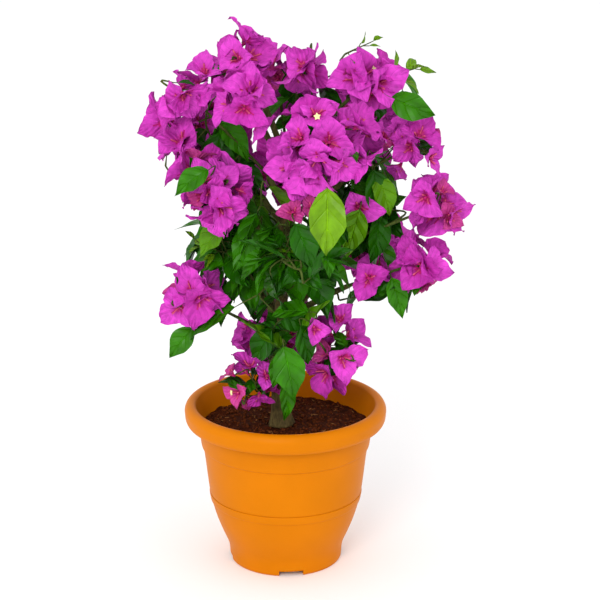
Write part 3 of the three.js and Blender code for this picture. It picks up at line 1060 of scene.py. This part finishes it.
def tint_by_light(light):
    """A leaf tint, more often a lighter one the more the leaf faces up, from 0 to 1: partly younger
    leaves, and partly painted light on leaves that face up and painted shade on those that don't.
    """
    pick = grow_random.uniform(0, 1) + 0.45 * light
    return "dark" if pick < 0.50 else "mid" if pick < 1.12 else "bright"


def grow_shoots():
    """Shoots over the leafy clumps, and a few smaller ones that fill in under the blossom."""
    for name in LEAFY:
        apart = SHOOT_SPACING * THIN_CLUMPS.get(name, 1)
        for spot, way, _ in spread([name], tries=300, spacing=apart, hidden=0.004):
            length = grow_random.uniform(0.052, 0.072)
            lean = unit(way + FRONT * 0.15 + jitter(0.2))
            tip = spot - way * length * 0.60
            # Shoots that face up get the lighter greens more often: painted light.
            add_shoot(tip, lean, SHOOT_LENGTH, length, SHOOT_LEAVES, tint_by_light(way[2]),
                      droop=0.45)
    for spot, way, _ in spread(FLOWERY, tries=200, spacing=UNDER_SPACING, hidden=0.004):
        length = grow_random.uniform(0.036, 0.046)
        tip = spot - way * (length * 0.6 + 0.026)
        # Shoots under the blossom get the darker greens more often than the top of the crown:
        # painted shade.
        add_shoot(tip, unit(way + jitter(0.2)), UNDER_LENGTH, length, UNDER_LEAVES,
                  tint_by_light(0), droop=0.2)


def hang_leaves():
    """Single large leaves that hang over the shoots of a leafy clump, one above another, with
    their faces out."""
    for name in LEAFY:
        apart = HANGING_SPACING * THIN_CLUMPS.get(name, 1)
        for spot, way, _ in spread([name], tries=500, spacing=apart, hidden=0.004):
            length = grow_random.uniform(*HANGING_LENGTH)
            along = unit(way * 0.45 - UP * 0.9 + jitter(0.32))
            base = spot - way * 0.003 - along * length * 0.45
            tip = base + along * length
            if stray(tip) > STRAY_TIP or among_flowers(np.array([base, tip])):
                continue
            # Leaves that face up get the lighter greens more often, as painted light. Those that
            # face down get painted shade.
            add_leaf(base, along, way + UP * 0.45 + jitter(0.12), length, tint_by_light(way[2]))
            twig_ends.append((base - along * STALK_LENGTH, along, STALK_RADIUS))


def grow_outer_leaves():
    """The large leaves and the fresh shoots that stand out of the crown."""
    for name, side, along, length, tint in LARGE_LEAVES:
        base = clumps[name].side(side)
        along = unit(np.array(along, float))
        out = unit(np.array(side, float))
        add_leaf(base, along, out + FRONT * 0.6 + UP * 0.3, length, tint)
        twig_ends.append((base - along * STALK_LENGTH, along, STALK_RADIUS))
    for name, side, way, length in FRESH_SHOOTS:
        way = unit(np.array(way, float))
        tip = clumps[name].side(side) + way * FRESH_OUT
        add_shoot(tip, way, FRESH_LENGTH, length, SHOOT_LEAVES, "lime", droop=0.1, fresh=True)


def leaf_skin(name, colour):
    """A leaf's waxy skin: paler midrib and side veins, pressed in a little, and flesh that swells
    between them."""
    material, tree, shader = new_material(name)
    blade_map = veined(tree, slant=-0.55, count=7.0, width=0.16)
    midrib = remapped(tree, blade_map["Aside"], 0.008, 0.03, 1.0, 0.0)
    lines = times_plus(tree, blade_map["Vein"], 0.45, midrib)
    tone = toned(tree, colour, 45, 0.30)
    lift = times_plus(tree, lines, 0.55, 0.95)
    tree.links.new(lightened(tree, tone["Color"], lift), shader.inputs["Base Color"])
    flesh = times_plus(tree, lines, -0.8, blade_map["Swell"])
    add_relief(tree, shader, flesh, 1.0, 0.0018)
    set_finish(shader, roughness=0.36, specular=0.16)
    return material


grow_shoots()
hang_leaves()
grow_outer_leaves()
leaf_pieces = [
    leaf_piles[tint].piece("leaves_" + tint, leaf_skin(tint + " leaf", colour))
    for tint, colour in LEAF_GREENS.items()
]
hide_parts(*LEAFY)

# ---- The twigs ------------------------------------------------------------------------------
# Thin green-brown shoots that carry every leafy shoot and flower stalk. Those that end nearest
# to the limbs grow first, and each later one may branch from them.
TWIG_GREEN = (0.060, 0.085, 0.014, 1)
TWIG_STEPS = 6
TWIG_WIDEST = 0.0019
TWIG_BEND = 0.018  # the furthest that a twig runs on the way it starts, or the way it ends
TWIG_SHORTEST = 0.003
# Wood that lies further out, or higher, than a twig's end counts as so much further off.
OUTER_MARGIN, OUTER_PENALTY = 0.004, 0.05
ABOVE_MARGIN, ABOVE_PENALTY = 0.02, 0.03
CORE_FOOT, CORE_TIP, CORE_POINTS, CORE_SIDES = 0.0024, 0.0014, 5, 6
BARE_STATIONS = 4  # places along the trunk's foot that no twig leaves from


def standing_wood():
    """Points along the trunk and the boughs that twigs may grow from, and the way each runs."""
    wood = [trunk_points[BARE_STATIONS:]]
    ways = [np.gradient(trunk_points, axis=0)[BARE_STATIONS:]]
    for name, (line, _) in boughs.items():
        dense = spline(line, 3)[3:]
        middle = clumps[name.removeprefix("bough_to_")].middle
        inner = np.linspace(dense[-1], middle, CORE_POINTS)
        wood += [dense, inner]
        ways += [np.gradient(dense, axis=0), np.gradient(inner, axis=0)]
        add_stem(inner, CORE_FOOT, CORE_TIP, CORE_SIDES)
    ways = np.vstack(ways)
    return np.vstack(wood), ways / np.linalg.norm(ways, axis=1)[:, None]


def grow_twigs():
    """A twig to each noted end, from the nearest wood that lies further in."""
    wood, ways = standing_wood()
    for end, way, radius in sorted(
        twig_ends, key=lambda e: np.linalg.norm(wood - e[0], axis=1).min()
    ):
        gap = np.linalg.norm(wood - end, axis=1)
        outer = np.hypot(wood[:, 0], wood[:, 1]) > math.hypot(end[0], end[1]) + OUTER_MARGIN
        above = wood[:, 2] > end[2] + ABOVE_MARGIN
        k = int((gap + OUTER_PENALTY * outer + ABOVE_PENALTY * above).argmin())
        root, reach = wood[k], float(gap[k])
        if reach < TWIG_SHORTEST:
            continue
        t = np.linspace(0, 1, TWIG_STEPS)[:, None]
        lean = unit(ways[k] * 0.6 + (end - root) / reach)
        near = root + lean * min(reach * 0.35, TWIG_BEND)
        far = end - way * min(reach * 0.30, TWIG_BEND)
        line = ((1 - t) ** 3 * root + 3 * (1 - t) ** 2 * t * near
                + 3 * (1 - t) * t**2 * far + t**3 * end)
        widest = min(TWIG_WIDEST, radius + reach * 0.012)
        add_stem(line, widest, radius)
        wood = np.vstack([wood, line[1:-1]])
        ways = np.vstack([ways, np.tile(unit(end - root), (TWIG_STEPS - 2, 1))])


grow_twigs()
twigs = stem_pile.piece("twigs", bark("twig skin", TWIG_GREEN, 0.0004))

# ---- The studio -----------------------------------------------------------------------------
# A plain white floor that runs far back, two large soft lamps and an even white surround. The
# camera looks down at the bush a little from in front.
FLOOR_REACH = 25
CAMERA_PLACE = (0.0187, -2.400, 1.092)
CAMERA_DIP = math.radians(17.196)
CAMERA_LENS = 118.99
LAMP_AIM = (0, 0, 0.4)

backdrop = bpy.data.meshes.new("backdrop")
corners = [(-FLOOR_REACH, -FLOOR_REACH, 0), (FLOOR_REACH, -FLOOR_REACH, 0),
           (FLOOR_REACH, FLOOR_REACH, 0), (-FLOOR_REACH, FLOOR_REACH, 0)]
backdrop.from_pydata(corners, [], [(0, 1, 2, 3)])
floor = bpy.data.objects.new("backdrop", backdrop)
bpy.context.collection.objects.link(floor)
floor_paint, _, floor_shader = new_material("white floor")
floor_shader.inputs["Base Color"].default_value = (0.97, 0.97, 0.97, 1)
floor_shader.inputs["Roughness"].default_value = 0.9
backdrop.materials.append(floor_paint)


def soft_lamp(name, place, size, power):
    """A square area lamp that faces the middle of the bush."""
    lamp = bpy.data.lights.new(name, "AREA")
    lamp.size = size
    lamp.energy = power
    holder = bpy.data.objects.new(name, lamp)
    holder.location = place
    aim = Vector(LAMP_AIM) - Vector(place)
    holder.rotation_euler = aim.to_track_quat("-Z", "Y").to_euler()
    bpy.context.collection.objects.link(holder)


soft_lamp("key lamp", (-0.8, -2.9, 1.9), size=1.2, power=44)
soft_lamp("fill lamp", (2.4, -1.6, 1.6), size=2.0, power=4)

surround = bpy.data.worlds.new("surround")
surround.use_nodes = True
surround.node_tree.nodes["Background"].inputs["Color"].default_value = (1, 1, 1, 1)
surround.node_tree.nodes["Background"].inputs["Strength"].default_value = 1.05
bpy.context.scene.world = surround
bpy.context.scene.view_settings.view_transform = "Standard"

lens = bpy.data.cameras.new("camera")
lens.lens = CAMERA_LENS
camera = bpy.data.objects.new("camera", lens)
camera.location = CAMERA_PLACE
camera.rotation_euler = (math.pi / 2 - CAMERA_DIP, 0, 0)
bpy.context.collection.objects.link(camera)
bpy.context.scene.camera = camera
